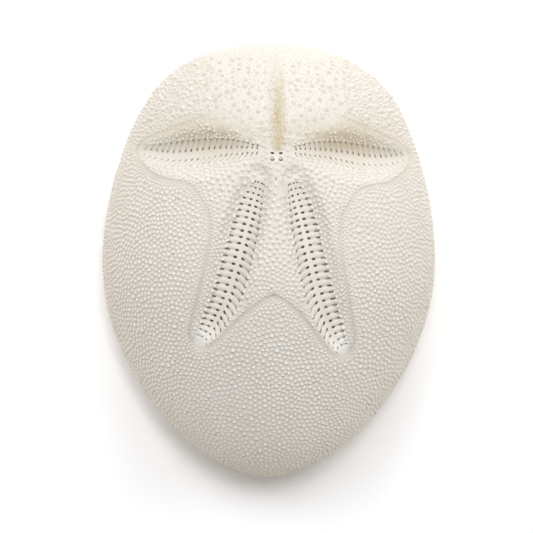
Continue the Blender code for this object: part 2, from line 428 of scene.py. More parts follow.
class Places:
    """The ground at some directions: points, normals, and how the points move as the directions turn."""

    def __init__(self, directions):
        self.d = unit(directions)
        self.up = self.d[:, 2]
        helper = np.where(np.abs(self.d[:, 2:]) < 0.8, [[0.0, 0.0, 1.0]], [[0.0, 1.0, 0.0]])
        self.t1 = unit(np.cross(helper, self.d))
        self.t2 = np.cross(self.d, self.t1)
        self.p = ground(self.d)
        self.j1, self.j2 = ((ground(unit(self.d + NUDGE * t)) - self.p) / NUDGE for t in (self.t1, self.t2))
        normal = np.cross(self.j1, self.j2)
        self.area = np.linalg.norm(normal, axis=1)
        self.n = normal / self.area[:, None]

    def solve(self, a, b):
        """The turn (along t1 and t2) for which the Jacobian's products with the answer are a and b."""
        g11, g12, g22 = (self.j1**2).sum(1), (self.j1 * self.j2).sum(1), (self.j2**2).sum(1)
        det = g11 * g22 - g12**2
        return (g22 * a - g12 * b) / det, (g11 * b - g12 * a) / det

    def turned(self, a, b, most=np.inf):
        """The directions after a turn of a along t1 and b along t2, or as much of it as is allowed."""
        excess = np.maximum(1, np.hypot(a, b) / most)
        return unit(self.d + (a / excess)[:, None] * self.t1 + (b / excess)[:, None] * self.t2)

    def slide(self, moves):
        """The directions after the points move by these millimetres along the ground."""
        return self.turned(*self.solve((self.j1 * moves).sum(1), (self.j2 * moves).sum(1)), LONGEST_TURN)

    def pick(self, chosen):
        part = object.__new__(Places)
        vars(part).update({name: values[chosen] for name, values in vars(self).items()})
        return part

    def frames(self, towards):
        """Two unit vectors along the ground at each place, the first one nearest to the given direction."""
        e1 = unit(towards - (towards * self.n).sum(1, keepdims=True) * self.n)
        return e1, np.cross(self.n, e1)

    def crosswise(self):
        """The same with the first one across the shell."""
        return self.frames(np.tile([1.0, 0.0, 0.0], (len(self.d), 1)))


def directions_over(flat, below=False):
    """The directions whose ground lies at these places (x, y) of the plan."""
    v = flat[:, 1] / HALF_LENGTH
    across = flat[:, 0] / HALF_WIDTH
    up = np.sqrt(np.maximum(0.02, 1 - v**2 - across**2))
    d = unit(np.stack([across, v, -up if below else up], axis=1))
    for _ in range(SOLVER_STEPS):
        places = Places(d)
        gap = flat - places.p[:, :2]
        det = cross_flat(places.j1, places.j2)
        d = places.turned(cross_flat(gap, places.j2) / det, cross_flat(places.j1, gap) / det, LONGEST_TURN)
    return d


def directions_near(points, guess):
    """The directions whose ground is nearest to these points."""
    d = guess
    for _ in range(SOLVER_STEPS):
        places = Places(d)
        d = places.slide(points - places.p)
    return d


# ---- Flat charts of the skin and their triangles ----
def halves(up, reach):
    """For the upper and the lower half: +1 or -1, and the directions that are at least reach above its rim."""
    for half in (1, -1):
        yield half, np.flatnonzero(up * half >= reach)


def chart(directions, half):
    """The upper or lower part of the skin rolled out flat, nearly true to size."""
    ring = HALF_WIDTH * 0.55 + HALF_LENGTH * 0.45
    depth = CROWN_HEIGHT - RIM_HEIGHT if half > 0 else RIM_HEIGHT
    angles = np.linspace(0, 2.4, 400)
    rates = np.hypot(ring * np.cos(angles), depth * np.sin(angles))
    arcs = np.concatenate([[0], np.cumsum(rates[:-1])]) * angles[1]
    flat = np.maximum(np.hypot(directions[:, 0], directions[:, 1]), 1e-9)
    radius = np.interp(np.arccos(np.clip(directions[:, 2] * half, -1, 1)), angles, arcs) / (ring * flat)
    return directions[:, :2] * radius[:, None] * [HALF_WIDTH, HALF_LENGTH]


def triangles_of(flat, edges=()):
    """The Delaunay triangles of places on a chart, as rows of three indices."""
    found = delaunay_2d_cdt([Vector(place) for place in flat.tolist()], list(edges), [], 0, 1e-7, True)
    _, _, faces, origins, _, _ = found
    first = np.array([origin[0] if origin else -1 for origin in origins])
    return first[np.array(faces)]


def edges_of(faces):
    return np.vstack([faces[:, [0, 1]], faces[:, [1, 2]], faces[:, [2, 0]]])


def cotangent(start, end, corner):
    """The cotangent of the angle that each edge spans at a corner."""
    a, b = start - corner, end - corner
    return (a * b).sum(1) / np.maximum(np.linalg.norm(np.cross(a, b), axis=1), 1e-12)


def rounder(faces, points, fixed=0, passes=14):
    """The triangles after turning the edge of every two that would be rounder the other way across.

    Edges between two of the first points stay as they are.
    """
    faces = faces.copy()
    for _ in range(passes):
        edges = edges_of(faces)
        corners = faces[:, [2, 0, 1]].T.ravel()
        owner = np.tile(np.arange(len(faces)), 3)
        keys = edges.min(axis=1).astype(np.int64) * len(points) + edges.max(axis=1)
        order = np.argsort(keys)
        keys = keys[order]
        twin = np.flatnonzero(keys[1:] == keys[:-1])
        a, b = order[twin], order[twin + 1]
        u, v, c, d = edges[a, 0], edges[a, 1], corners[a], corners[b]
        poor = cotangent(points[u], points[v], points[c]) + cotangent(points[u], points[v], points[d])
        turn = np.flatnonzero((poor < -0.01) & ((u >= fixed) | (v >= fixed)) & (edges[b, 0] == v))
        crossing = np.minimum(c, d)[turn].astype(np.int64) * len(points) + np.maximum(c, d)[turn]
        found = np.minimum(np.searchsorted(keys, crossing), len(keys) - 1)
        turn = turn[keys[found] != crossing]
        if not len(turn):
            break
        first, second, poor = owner[a[turn]], owner[b[turn]], poor[turn]
        worst = np.zeros(len(faces))
        np.minimum.at(worst, first, poor)
        np.minimum.at(worst, second, poor)
        chosen = (worst[first] == poor) & (worst[second] == poor)
        turn, first, second = turn[chosen], first[chosen], second[chosen]
        faces[first] = np.stack([u[turn], d[turn], c[turn]], axis=1)
        faces[second] = np.stack([d[turn], v[turn], c[turn]], axis=1)
    return faces


def neighbours(directions):
    """Pairs of directions that lie side by side on the skin."""
    pairs = []
    points = ground(directions)
    for half, index in halves(directions[:, 2], -0.25):
        faces = index[triangles_of(chart(directions[index], half))]
        edges = edges_of(rounder(faces, points, passes=8))
        inner = (directions[edges, 2] * half > -0.12).all(axis=1)
        pairs.append(np.sort(edges[inner], axis=1))
    return np.unique(np.vstack(pairs), axis=0)


def tree_of(points):
    tree = KDTree(len(points))
    for index, point in enumerate(points.tolist()):
        tree.insert(point, index)
    tree.balance()
    return tree


def nearest(tree, points):
    """The index and distance of the nearest point in the tree."""
    found = [tree.find(point) for point in points.tolist()]
    return np.array([hit[1] for hit in found]), np.array([hit[2] for hit in found])


# ---- The band and the parts without tubercles ----
BAND_PLAN = smooth_line(BAND, 0.6)
BAND_LINE = ground(directions_over(BAND_PLAN))


def band_distance(points, up):
    """Distance from the middle of the band, and its strength there."""
    apart = np.full(len(points), 99.0)
    along = np.zeros(len(points))
    near = np.flatnonzero((up > 0) & (points[:, 1] > -30) & (points[:, 1] < 40))
    both = np.column_stack([plan(points[near]), points[near, 2]])
    apart[near], along[near], _, _ = along_line(BAND_LINE, both)
    return apart, step(0, BAND_FADES_IN, along)


def inside_band(points):
    """True where the plan's place lies within the band's loop, closed in front."""
    flat = plan(points)
    loop = np.vstack([[0, 34.5], BAND_PLAN[::4], BAND_PLAN[-1:], [-1, -8.3], [-1, 34.5]])
    inside = np.zeros(len(points), dtype=bool)
    for (x1, y1), (x2, y2) in zip(loop, np.roll(loop, -1, axis=0)):
        crosses = (y1 > flat[:, 1]) != (y2 > flat[:, 1])
        if crosses.any():
            inside ^= crosses & (flat[:, 0] < (x2 - x1) * (flat[:, 1] - y1) / (y2 - y1 + 1e-12) + x1)
    return inside


def naked_distance(points):
    """Distance outside the smooth bands of the underside: two beside the breastplate, one round the tail."""
    x, y = np.abs(points[:, 0]), points[:, 1]
    middle = np.interp(y, [-40, -30, -15, 0, 18], [5.0, 7.0, 10.5, 12.6, 12.0])
    half = np.interp(y, [-40, -30, -10, 10, 17, 21], [0.6, 1.2, 2.2, 2.6, 2.3, -1.0])
    tail = np.abs(np.hypot(x / 8.0, (y + 38.5) / 4.6) - 1) * 5.5 - 0.55
    return np.minimum(np.abs(x - middle) - half, tail)


def bare_distance(points, up):
    """Distance outside everything that carries no tubercles, negative within it."""
    apart, strength = band_distance(points, up)
    bare = np.minimum(9.0, apart - BAND_HALF_WIDTH * strength + 2 * (1 - strength))
    top = np.flatnonzero((up > 0) & (points[:, 1] > -30))
    flat = plan(points[top])
    x, y = flat.T
    stripe_edge = STRIPE_HALF_WIDTH * step(46, 39, y)
    stripe = np.maximum(x - stripe_edge, np.maximum(STRIPE_FROM - y, y - STRIPE_TO))
    apical = np.hypot(x - APICAL_AT[0], (y - APICAL_AT[1]) * 0.8) - 1.4
    least = [bare[top], stripe, apical]
    for petal in PETALS:
        beside, s = petal.bare(flat)
        least.append(beside - np.where(s >= 1, 0.5, 0))
    bare[top] = np.min(least, axis=0)
    bare = np.where(up < 0, np.minimum(bare, mouth_distance(points) - 1.0), bare)
    bare = np.where(up < -0.3, np.minimum(bare, naked_distance(points)), bare)
    return np.minimum(bare, vent_distance(points) - 1.0)


# ---- How the tubercles differ from place to place ----
def front_share(points, up):
    """1 in the front field, where the tubercles stand in shallow dishes, and 0 away from it."""
    x, y = plan(points).T
    return step(20, 13, x) * step(27.5, 31, y) * (up > 0)


def mixed_share(points, up):
    """1 beside the front field, where dishes and beads are mixed."""
    x, y = plan(points).T
    return bump(x, 24, 8) * step(26, 31, y) * (up > -0.1)


def pale_share(points, up):
    """How much whiter the ground is: in the front field, behind the front petals, at the rear petals' tips."""
    x, y = plan(points).T
    behind = bump(x, 17, 12) * bump(y, 19.5, 4.5)
    tips = bump(np.hypot(x - 14.9, y + 19.2), 0, 3.0)
    return 0.30 * front_share(points, up) * step(28.5, 33, y) + (0.35 * behind + 0.9 * tips) * (up > 0)


def boldness(points, up):
    """How tall the tubercles are, next to the usual ones."""
    x, y = plan(points).T
    above = up > 0
    apical = step(7.0, 2.6, np.hypot(x, (y - 21.8) * 0.9)) * above
    flank = step(16, 26, x) * step(26, 10, y)
    rearwards = step(5, -20, y) * step(30, 20, x)
    slope = bump(x, 16, 9) * bump(y, 29.5, 2.2) * above
    front_side = bump(x, 22, 8) * step(27, 31, y) * above
    bold = 1 - 0.7 * apical - 0.10 * flank * (1 - rearwards) - 0.30 * step(-20, -42, y)
    return bold + 0.35 * slope + 0.25 * front_side


def pitch_at(points, up):
    """The distance between neighbouring tubercles."""
    x, y = plan(points).T
    apart, strength = band_distance(points, up)
    within = inside_band(points) & (up > 0)
    pitch = USUAL_PITCH + 0.08 * step(15, 24, x) * step(26, 12, y)
    front_field = step(20, 12, x) * step(26, 29, y) * step(47, 42, y) * (up > 0)
    pitch = pitch + (FRONT_PITCH - pitch) * front_field
    keel_field = within & (x < np.interp(y, [-20, 18], [8.5, 1.5]))
    pitch = np.where(keel_field, np.interp(y, [-8, 15], [1.1, 1.45]), pitch)
    shoulder = within & ~keel_field & (y < 22)
    pitch = np.where(shoulder, np.interp(np.hypot(x, y - 22), [5, 18], [1.5, 1.2]), pitch)
    pitch = np.where(within & (y > 23) & (x > 6), 0.98, pitch)
    beside_band = strength * step(2.8, 0.8, apart)
    pitch = pitch + (BAND_PITCH - pitch) * beside_band * (pitch > BAND_PITCH)
    under = step(-0.3, -0.75, up)
    breastplate = step(12, 9, x) * step(20, 15, y) * under
    return pitch * (1 + 0.35 * under + 0.30 * breastplate)


def primary_pitch(points, up):
    """The large ringed tubercles of the front keep this far apart."""
    x, y = plan(points).T
    field = (up > 0) & (y > 26.5) & (y < 46) & (x > 2.6) & (x < 17) & (bare_distance(points, up) > 0.5)
    return np.where(field, 1.95 + 0.02 * x, NOWHERE)


# ---- Tubercles ----
def scatter(pitch_of, share=1.0):
    """Random directions, as dense as the pitch asks."""
    places = Places(rng.normal(size=(SCATTERED, 3)))
    cell = HEX_ROW * pitch_of(places.p, places.up) ** 2
    kept = rng.random(SCATTERED) < places.area * (4 * math.pi / SCATTERED) / cell * share
    return places.d[kept & (bare_distance(places.p, places.up) > 0)]


def thin_out(directions, gap):
    """Keeps directions that are at least gap apart."""
    points = ground(directions)
    kept = []
    for index, point in enumerate(points):
        if all(np.linalg.norm(point - points[other]) > gap for other in kept):
            kept.append(index)
    return directions[kept]


def pushed_out(directions, fixed):
    """Moves directions that fell into a bare part back to its edge."""
    places = Places(directions)
    bare = bare_distance(places.p, places.up)
    index = np.flatnonzero((bare < 0) & (np.arange(len(bare)) >= fixed))
    if not len(index):
        return directions
    part, here = places.pick(index), bare[index]
    slopes = []
    for tangent in (part.t1, part.t2):
        there = unit(part.d + NUDGE * tangent)
        slopes.append((bare_distance(ground(there), there[:, 2]) - here) / NUDGE)
    a, b = part.solve(*slopes)
    steepness = np.sqrt(np.maximum(a * slopes[0] + b * slopes[1], 1e-6))
    out = np.minimum(-here, 1.0) / steepness**2
    moved = directions.copy()
    moved[index] = part.turned(a * out, b * out)
    return moved


def relax(directions, variety, fixed):
    """Spreads the directions evenly over the ground outside the bare parts; the first ones stay put."""
    d = directions
    for turn in range(RELAXING_TURNS):
        if turn % 3 == 0:
            first, second = neighbours(d).T
        places = Places(d)
        space = pitch_at(places.p, places.up) * variety
        gap = places.p[second] - places.p[first]
        length = np.linalg.norm(gap, axis=1)
        push = np.maximum((space[first] + space[second]) * TOUCHING - length, 0) / length * PUSH
        force = (gap * push[:, None]).T
        move = [np.bincount(second, part, len(d)) - np.bincount(first, part, len(d)) for part in force]
        move = np.stack(move, axis=1)
        move[:fixed] = 0
        d = places.slide(move)
        if turn % 2 == 1:
            d = pushed_out(d, fixed)
    return pushed_out(d, fixed)


class Beads:
    """The tubercles: where they are, their radius and height, how deep in a dish and how white they are."""

    def __init__(self):
        primaries = scatter(primary_pitch, 3.0)
        here = Places(primaries)
        primaries = thin_out(primaries[primary_pitch(here.p, here.up) < NOWHERE], PRIMARY_GAP)
        d = np.vstack([primaries, scatter(pitch_at)])
        here = Places(d)
        mixture = 0.12 + 0.10 * mixed_share(here.p, here.up) + 0.12 * front_share(here.p, here.up)
        variety = np.exp(rng.normal(size=len(d)) * mixture)
        count = len(primaries)
        variety[:count] = 1.5 / pitch_at(here.p, here.up)[:count]
        self.d = relax(d, variety, fixed=count)
        places = Places(self.d)
        self.p = places.p
        self.tree = tree_of(self.p)
        self.shape(places.up, pitch_at(self.p, places.up) * variety, np.arange(len(d)) < count)

    def shape(self, up, pitch, primary):
        """Sizes, and the shares of white and of the dish."""
        count = len(up)
        x, y = plan(self.p).T
        front = front_share(self.p, up)
        small = rng.random(count) < np.maximum(front, 0.35 * mixed_share(self.p, up))
        soft = inside_band(self.p) & (up > 0) & (y < 24)
        near_apex = step(14, 7, np.hypot(x, y - 22))
        full = np.where(soft, SOFT_BEAD_RADIUS - 0.035 * near_apex, BEAD_RADIUS)
        self.radius = np.where(small, 0.15 + 0.03 * (1 - front), full) * pitch
        self.radius = np.where(primary, PRIMARY_RADIUS * rng.uniform(0.75, 1.1, count), self.radius)
        self.sunken = np.where(small, rng.uniform(0.1, 0.65, count), 0)
        self.sunken = np.where(primary, rng.uniform(0.55, 0.85, count), self.sunken)
        bold = boldness(self.p, up)
        self.height = self.radius * np.where(self.sunken > 0, 0.7, np.where(soft, 1.15, 1.2) * bold)
        self.height = np.where(up < -0.2, np.minimum(self.height, LOW_HEIGHT), self.height)
        self.white = np.where(self.sunken > 0, 0.6, np.where(soft, 0.8, 0.9) * np.clip(bold, 0.3, 1))


# ---- Pores: place on the plan, direction of the length, half length, half width, depth and darkness ----
def pair_of_pores(petal, s, side, outer, inner, mirror):
    """The two pores of a pair, the outer one a longer slot."""
    lean = value_at(petal.lean[0 if side > 0 else 1], s)
    inside = petal.place(s, value_at(petal.rows[inner], s))
    outside = petal.place(s + lean / petal.length, value_at(petal.rows[outer], s))
    run = (outside - inside) / np.linalg.norm(outside - inside)
    full = step(0, 0.25, s) * step(1.0, 0.82, s)
    faint = 1 - 0.25 * step(0.82, 1.0, s)
    jitter = rng.normal(size=4) * 0.035
    found = []
    for place, least, grown, deep, shake, dark in (
        (inside, 0.21, petal.grown[1], 0.34, jitter[:2], petal.dark[inner]),
        (outside, 0.20, petal.grown[0], 0.26, jitter[2:], petal.dark[outer]),
    ):
        x, y = place + shake
        if mirror < 0:
            y = y + LEFT_LOBE_SHORTER * step(-8, -20, y)
        size = [least + more * full for more in grown]
        dark = dark * faint * (1 + 0.12 * rng.normal())
        found.append((mirror * x, y, mirror * run[0], run[1], *size, deep, dark))
    return found


def crown_pores():
    rows = []
    for petal in PETALS:
        for side in PETAL_SIDES:
            for k in range(petal.pairs):
                for mirror in (1, -1):
                    rows += pair_of_pores(petal, petal.pair_place(k), *side, mirror)
    rows += [(m * OPEN_PORE_AT[0], OPEN_PORE_AT[1], 1, m * 0.2, 0.44, 0.28, 0.55, 1.0) for m in (1, -1)]
    rows += [(m * PLUG_AT[0], PLUG_AT[1], 1, 0, 0.54, 0.50, 0.30, 1.0) for m in (1, -1)]
    rows += [(x, y, 1, 0, size, size * 0.85, 0.25, 0.8) for x, y, size in SPECKS]
    return np.array(rows)


def mouth_pores():
    """The pores in five short rows that spread out from the mouth."""
    rows = []
    for turn in (90, 25, 155, -35, 215):
        out = np.array([math.cos(math.radians(turn)), math.sin(math.radians(turn))])
        aside = np.array([-out[1], out[0]])
        for k in range(5):
            for side in (-1, 1):
                place = MOUTH_AT + out * (5.6 + 1.7 * k) + out * [3.6, 0] + aside * side * (0.8 + 0.14 * k)
                place = place + rng.normal(size=2) * 0.12 - [0, MOUTH_BEND * 0.5 * place[0] ** 2 * 0.4]
                rows.append((*place, *out, 0.30, 0.24, 0.3, 0.9))
    return np.array(rows)


class Pores:
    """All the pores on the ground."""

    def __init__(self):
        above, below = crown_pores(), mouth_pores()
        rows = np.vstack([above, below])
        ways = [directions_over(above[:, :2]), directions_over(below[:, :2], below=True)]
        self.places = Places(np.vstack(ways))
        self.frames = self.places.frames(np.column_stack([rows[:, 2:4], np.zeros(len(rows))]))
        self.tree = tree_of(self.places.p)
        self.half_length, self.half_width, self.depth, self.dark = rows[:, 4:].T
        self.plugged = rows[:, 1] == PLUG_AT[1]
        self.apical = (np.abs(rows[:, 1] - 23.8) < 0.8) & (np.abs(rows[:, 0]) < 1)

    def share(self, points, owner):
        """The gap to its pore, and how far out of it each point is: 1 on the edge of the round-ended slot."""
        gap = points - self.places.p[owner]
        along, aside = (np.abs((gap * axis[owner]).sum(1)) for axis in self.frames)
        straight = self.half_length[owner] - self.half_width[owner]
        return gap, np.hypot(np.maximum(along - straight, 0), aside) / self.half_width[owner]


def stripe_granules():
    """The directions of the tiny granules of the frontal stripe."""
    grid = hex_grid((-2.2, STRIPE_FROM - 0.6), (2.6, STRIPE_TO), 0.43)
    grid = grid[np.abs(grid[:, 0] - 0.2) < np.interp(grid[:, 1], [24.8, 27, 30], [0.6, 1.7, 2.3])]
    return directions_over(grid + rng.normal(size=grid.shape) * 0.07)


# ---- Points of the mesh ----
def ring_points(places, frames, radius, count, offset, stretch=0.0):
    """The directions of a ring round each place on the ground, drawn out along the first axis."""
    e1, e2 = frames
    found = []
    for turn in np.arange(count) * 2 * math.pi / count:
        angle = np.broadcast_to(turn + offset, len(e1))
        along = np.cos(angle) * radius + np.clip(1.8 * np.cos(angle), -1, 1) * stretch
        found.append(places.slide(along[:, None] * e1 + (np.sin(angle) * radius)[:, None] * e2))
    return np.vstack(found)


def bead_points(beads):
    """Mesh points on each bead, in its middle and on two rings, and those round it and on its dish's edge."""
    places = Places(beads.d)
    rearwards = np.tile([0.0, -1.0, 0.0], (len(beads.d), 1))
    rearwards[np.abs(places.n[:, 1]) > 0.9] = [0, 0, -1.0]
    e = places.frames(rearwards)
    phase = rng.uniform(0, 6.28, len(beads.d))
    low_ring, high_ring, skirt = (
        ring_points(places, e, beads.radius * share, count, offset)
        for share, count, offset in ((0.5, 5, phase), (0.86, 7, phase), (1.22, 7, phase * 0))
    )
    sunken = beads.sunken > 0
    places = Places(beads.d[sunken])
    e, reach = places.crosswise(), beads.radius[sunken] * DISH
    edges = [ring_points(places, e, reach * share, 10, 0.3 * share) for share in (0.8, 1.1)]
    skirt = np.vstack([skirt, *edges])
    owner, apart = nearest(beads.tree, ground(skirt))
    return [beads.d, low_ring, high_ring], skirt[apart > beads.radius[owner] * CLEAR_OF_BEAD]


def pore_points(pores):
    groups = [pores.places.d]
    stretch = pores.half_length - pores.half_width
    for share, count in ((0.5, 8), (0.82, 12), (1.1, 16), (1.5, 14)):
        groups.append(ring_points(pores.places, pores.frames, pores.half_width * share, count, 0.0, stretch))
    return groups


def hex_grid(low, high, spacing):
    columns = np.arange(low[0], high[0], spacing)
    lines = np.arange(low[1], high[1], spacing * HEX_ROW)
    x, y = np.meshgrid(columns, lines)
    x = x + (np.arange(len(lines)) % 2)[:, None] * spacing / 2
    grid = np.stack([x.ravel(), y.ravel()], axis=1)
    return grid + rng.normal(size=grid.shape) * spacing * 0.06


def fine_points(pores):
    """Mesh points over the bare parts of the crown, clear of the pores' own points and of the stripe."""
    grid = hex_grid((-34, -26), (34, 48), 0.28)
    flat = plan(grid)
    x, y = flat.T
    wanted = (np.abs(grid[:, 0]) < STRIPE_HALF_WIDTH + 0.2) & (y > STRIPE_FROM - 1) & (y < STRIPE_TO)
    for petal in PETALS:
        wanted |= petal.bare(flat)[0] < 0.1
    wanted |= np.linalg.norm((flat - SHIELD_AT) / (SHIELD_HALF_SIZE + 0.5), axis=1) < 1
    wanted |= np.hypot(x - APICAL_AT[0], y - APICAL_AT[1]) < 2.0
    fine = directions_over(grid[wanted])
    p = ground(fine)
    owner, _ = nearest(pores.tree, p)
    clear = pores.share(p, owner)[1] > 1.5 + 0.1 / pores.half_width[owner]
    in_stripe = (np.abs(p[:, 0]) < STRIPE_HALF_WIDTH) & (p[:, 1] > STRIPE_FROM)
    return fine[clear & ~in_stripe]


def band_points():
    """Mesh points along the band."""
    grid = hex_grid((-36, -26), (36, 38), 0.42)
    return directions_over(grid[along_line(BAND_PLAN, plan(grid))[0] < 1.2])


def one_per_cell(points, size):
    """The indices of points left when each cell of a fine lattice keeps one."""
    cells = np.floor(points / size).astype(np.int64)
    keys = (cells[:, 0] * 73856093) ^ (cells[:, 1] * 19349663) ^ (cells[:, 2] * 83492791)
    return np.sort(np.unique(keys, return_index=True)[1])


def fill_directions(beads):
    """Places midway between neighbouring tubercles, in the middle of their triangles."""
    found = []
    for half, index in halves(beads.d[:, 2], -0.1):
        faces = rounder(index[triangles_of(chart(beads.d[index], half))], beads.p)
        middle = unit(beads.d[faces].mean(axis=1))
        found.append(middle[(middle[:, 2] > 0) == (half > 0)])
    middle = np.vstack(found)
    owner, apart = nearest(beads.tree, ground(middle))
    return middle[apart > beads.radius[owner] * 1.5]


def skin_points(beads, pores, granules):
    """All the directions that get a mesh point, apart from the rim and the edges of the holes."""
    on_beads, skirt = bead_points(beads)
    fill = fill_directions(beads)
    fine = fine_points(pores)
    grains = Places(granules)
    round_grains = ring_points(grains, grains.crosswise(), 0.18, 6, 0.5)
    loose = np.vstack([skirt, fill, fine, band_points(), round_grains])
    p = ground(loose)
    owner, apart = nearest(beads.tree, p)
    outside = (apart > beads.radius[owner] * CLEAR_OF_BEAD) | (np.arange(len(loose)) < len(skirt))
    loose = loose[outside][one_per_cell(p[outside], CELL)]
    everything = np.vstack([*on_beads, granules, *pore_points(pores), loose])
    p = ground(everything)
    clear = (np.abs(everything[:, 2]) > CLEAR_OF_RIM) & (vent_distance(p) > CLEAR_OF_HOLE)
    clear &= (p[:, 2] > 12) | (np.abs(p[:, 0]) > 12) | (mouth_distance(p) > CLEAR_OF_HOLE)
    return everything[clear]


def even_loop(curve, count):
    """Evenly spaced parameters from 0 to 1 of a closed curve."""
    t = np.linspace(0, 1, 2000)
    far = travel(curve(t))
    return np.interp(np.arange(count) * far[-1] / count, far, t)


def rim_directions(count):
    """Evenly spaced directions round the widest line, where the upper and lower charts meet."""
    turns = np.linspace(0, 2 * math.pi, count * 4, endpoint=False)
    ring = np.stack([np.cos(turns), np.sin(turns), np.zeros(len(turns))], axis=1)
    far = travel(ground(np.vstack([ring, ring[:1]])))
    even = np.interp(np.arange(count) * far[-1] / count, far, np.append(turns, 2 * math.pi))
    return np.stack([np.cos(even), np.sin(even), np.zeros(count)], axis=1)


def mouth_curve(t):
    x = MOUTH_HALF_SIZE[0] * np.cos(2 * math.pi * t)
    y = MOUTH_AT[1] + MOUTH_HALF_SIZE[1] * np.sin(2 * math.pi * t) - MOUTH_BEND * x**2
    return np.stack([x, y], axis=1)


def vent_curve(t):
    x, height = VENT_HALF_SIZE[0] * np.cos(2 * math.pi * t), VENT_HALF_SIZE[1] * np.sin(2 * math.pi * t)
    return VENT_AT + x[:, None] * [1, 0, 0] + height[:, None] * VENT_UP


def hole_directions():
    """The edges of the mouth and of the vent."""
    mouth = directions_over(mouth_curve(even_loop(mouth_curve, MOUTH_POINTS)), below=True)
    edge = vent_curve(even_loop(vent_curve, VENT_POINTS))
    guess = unit(edge / [HALF_WIDTH, HALF_LENGTH, RIM_HEIGHT] - [0, 0, 1.6])
    return [mouth, directions_near(edge, guess)]


def rings_round_mouth():
    """Rows of directions at even distances outside the mouth's edge, for the ridge inside."""
    rows = []
    curve = mouth_curve(even_loop(mouth_curve, MOUTH_POINTS)) - MOUTH_AT
    bend = [0, MOUTH_BEND] * curve[:, :1] ** 2
    for apart in LABRUM_ROWS:
        grown = (curve + bend) * (1 + apart / MOUTH_HALF_SIZE[1])
        grown = grown - [0, MOUTH_BEND] * grown[:, :1] ** 2 + MOUTH_AT
        rows.append(directions_over(grown, below=True))
    return np.vstack(rows)


# ---- The skin as one mesh ----
def closed_mesh(directions, rim, loops):
    """Triangles over all the directions: an upper and a lower part that share the rim's points.

    The rim's points come first in the list, then the loops' points. Triangles in the holes are left out.
    """
    everything = np.vstack([rim] + loops + [directions])
    up = everything[:, 2]
    faces = []
    for half, index in halves(up, 0):
        place = {whole: part for part, whole in enumerate(index)}
        edges = [(k, (k + 1) % len(rim)) for k in range(len(rim))]
        start = len(rim)
        for loop in loops:
            if up[start] * half > 0:
                edges += [(place[start + k], place[start + (k + 1) % len(loop)]) for k in range(len(loop))]
            start += len(loop)
        faces.append(index[triangles_of(chart(everything[index], half), edges)][:, ::half])
    faces = np.vstack(faces)
    points = ground(everything)
    faces = faces[~in_a_hole(points[faces].mean(axis=1))]
    return everything, rounder(faces, points, fixed=start)


def in_a_hole(points):
    in_mouth = (points[:, 2] < 12) & (np.abs(points[:, 0]) < 10) & (mouth_distance(points) < 0)
    return in_mouth | (vent_distance(points) < 0)


def inner_skin(loops):
    """The inside of the wall: its points, with the edges of the holes in the same order as outside."""
    k = np.arange(INNER_POINTS)
    up = 1 - (2 * k + 1) / INNER_POINTS
    turn = k * math.pi * (3 - math.sqrt(5))
    flat = np.sqrt(1 - up**2)
    d = np.stack([flat * np.cos(turn), flat * np.sin(turn), up], axis=1)
    p = ground(d)
    clear = (np.abs(up) > 0.01) & (vent_distance(p) > 0.4)
    clear &= (up > 0) | (mouth_distance(p) > LABRUM_ROWS[-1] + 0.6)
    d = np.vstack([d[clear], rings_round_mouth()])
    everything, faces = closed_mesh(d, rim_directions(INNER_RIM_POINTS), loops)
    places = Places(everything)
    points = places.p - WALL * places.n
    apart = mouth_distance(places.p)
    ridge = step(0.1, 1.2, apart) * step(5.0, 2.4, apart) * step(0.6, -0.6, ahead_of_mouth(points))
    points[:, 2] += LABRUM * (ridge * (places.up < 0))
    return points, faces[:, ::-1]


def lips(loops, outer_start, inner_start, points):
    """The faces that join the outer and inner skin round the holes."""
    faces = []
    for loop in loops:
        here, after = np.arange(len(loop)), (np.arange(len(loop)) + 1) % len(loop)
        a, b, c, d = outer_start + here, outer_start + after, inner_start + after, inner_start + here
        joined = np.vstack([np.stack([a, b, c], axis=1), np.stack([a, c, d], axis=1)])
        corner = points[joined]
        across = np.cross(corner[:, 1] - corner[:, 0], corner[:, 2] - corner[:, 0])
        inwards = points[a].mean(axis=0) - corner.mean(axis=1)
        faces.append(joined if (across * inwards).sum() > 0 else joined[:, ::-1])
        outer_start, inner_start = outer_start + len(loop), inner_start + len(loop)
    return np.vstack(faces)


def vertex_normals(points, faces):
    a, b, c = (points[faces[:, k]] for k in range(3))
    cross = np.cross(b - a, c - a)
    total = np.zeros_like(points)
    for k in range(3):
        for axis in range(3):
            total[:, axis] += np.bincount(faces[:, k], cross[:, axis], len(points))
    return total / np.maximum(np.linalg.norm(total, axis=1, keepdims=True), 1e-12)


# ---- Relief and paint: shares of white bead, warm hollow (painted shade and the band's tone), brown stain (and painted slope shade) and dark pore ----
def bead_relief(places, beads):
    """Height and paint from the nearest tubercle: a domed bead with a pit behind it, or a boss in a dish."""
    owner, apart = nearest(beads.tree, places.p)
    radius, sunken = beads.radius[owner], beads.sunken[owner]
    r = apart / radius
    rearwards = np.clip((beads.p[owner, 1] - places.p[:, 1]) / np.maximum(apart, 1e-6), -1, 1)
    dome = beads.height[owner] * np.maximum(0, 1 - r**2) ** 0.8
    # Painted shade: the pit behind each bead is painted darker, most on its rear side.
    behind = bump(r, 1.55, 0.5) * (0.35 + 0.65 * rearwards)
    pit = np.where(sunken > 0, step(DISH, 0.55 * DISH, r), behind)
    top = step(1.2, 0.6, r)
    # brown is how strongly the pit, or the dish round a boss, is painted with shade.
    brown = np.where(sunken > 0, sunken * (1 - 0.35 * top), 0.92)
    return dome - 0.5 * radius * pit, top * beads.white[owner], np.clip(pit, 0, 1) * brown


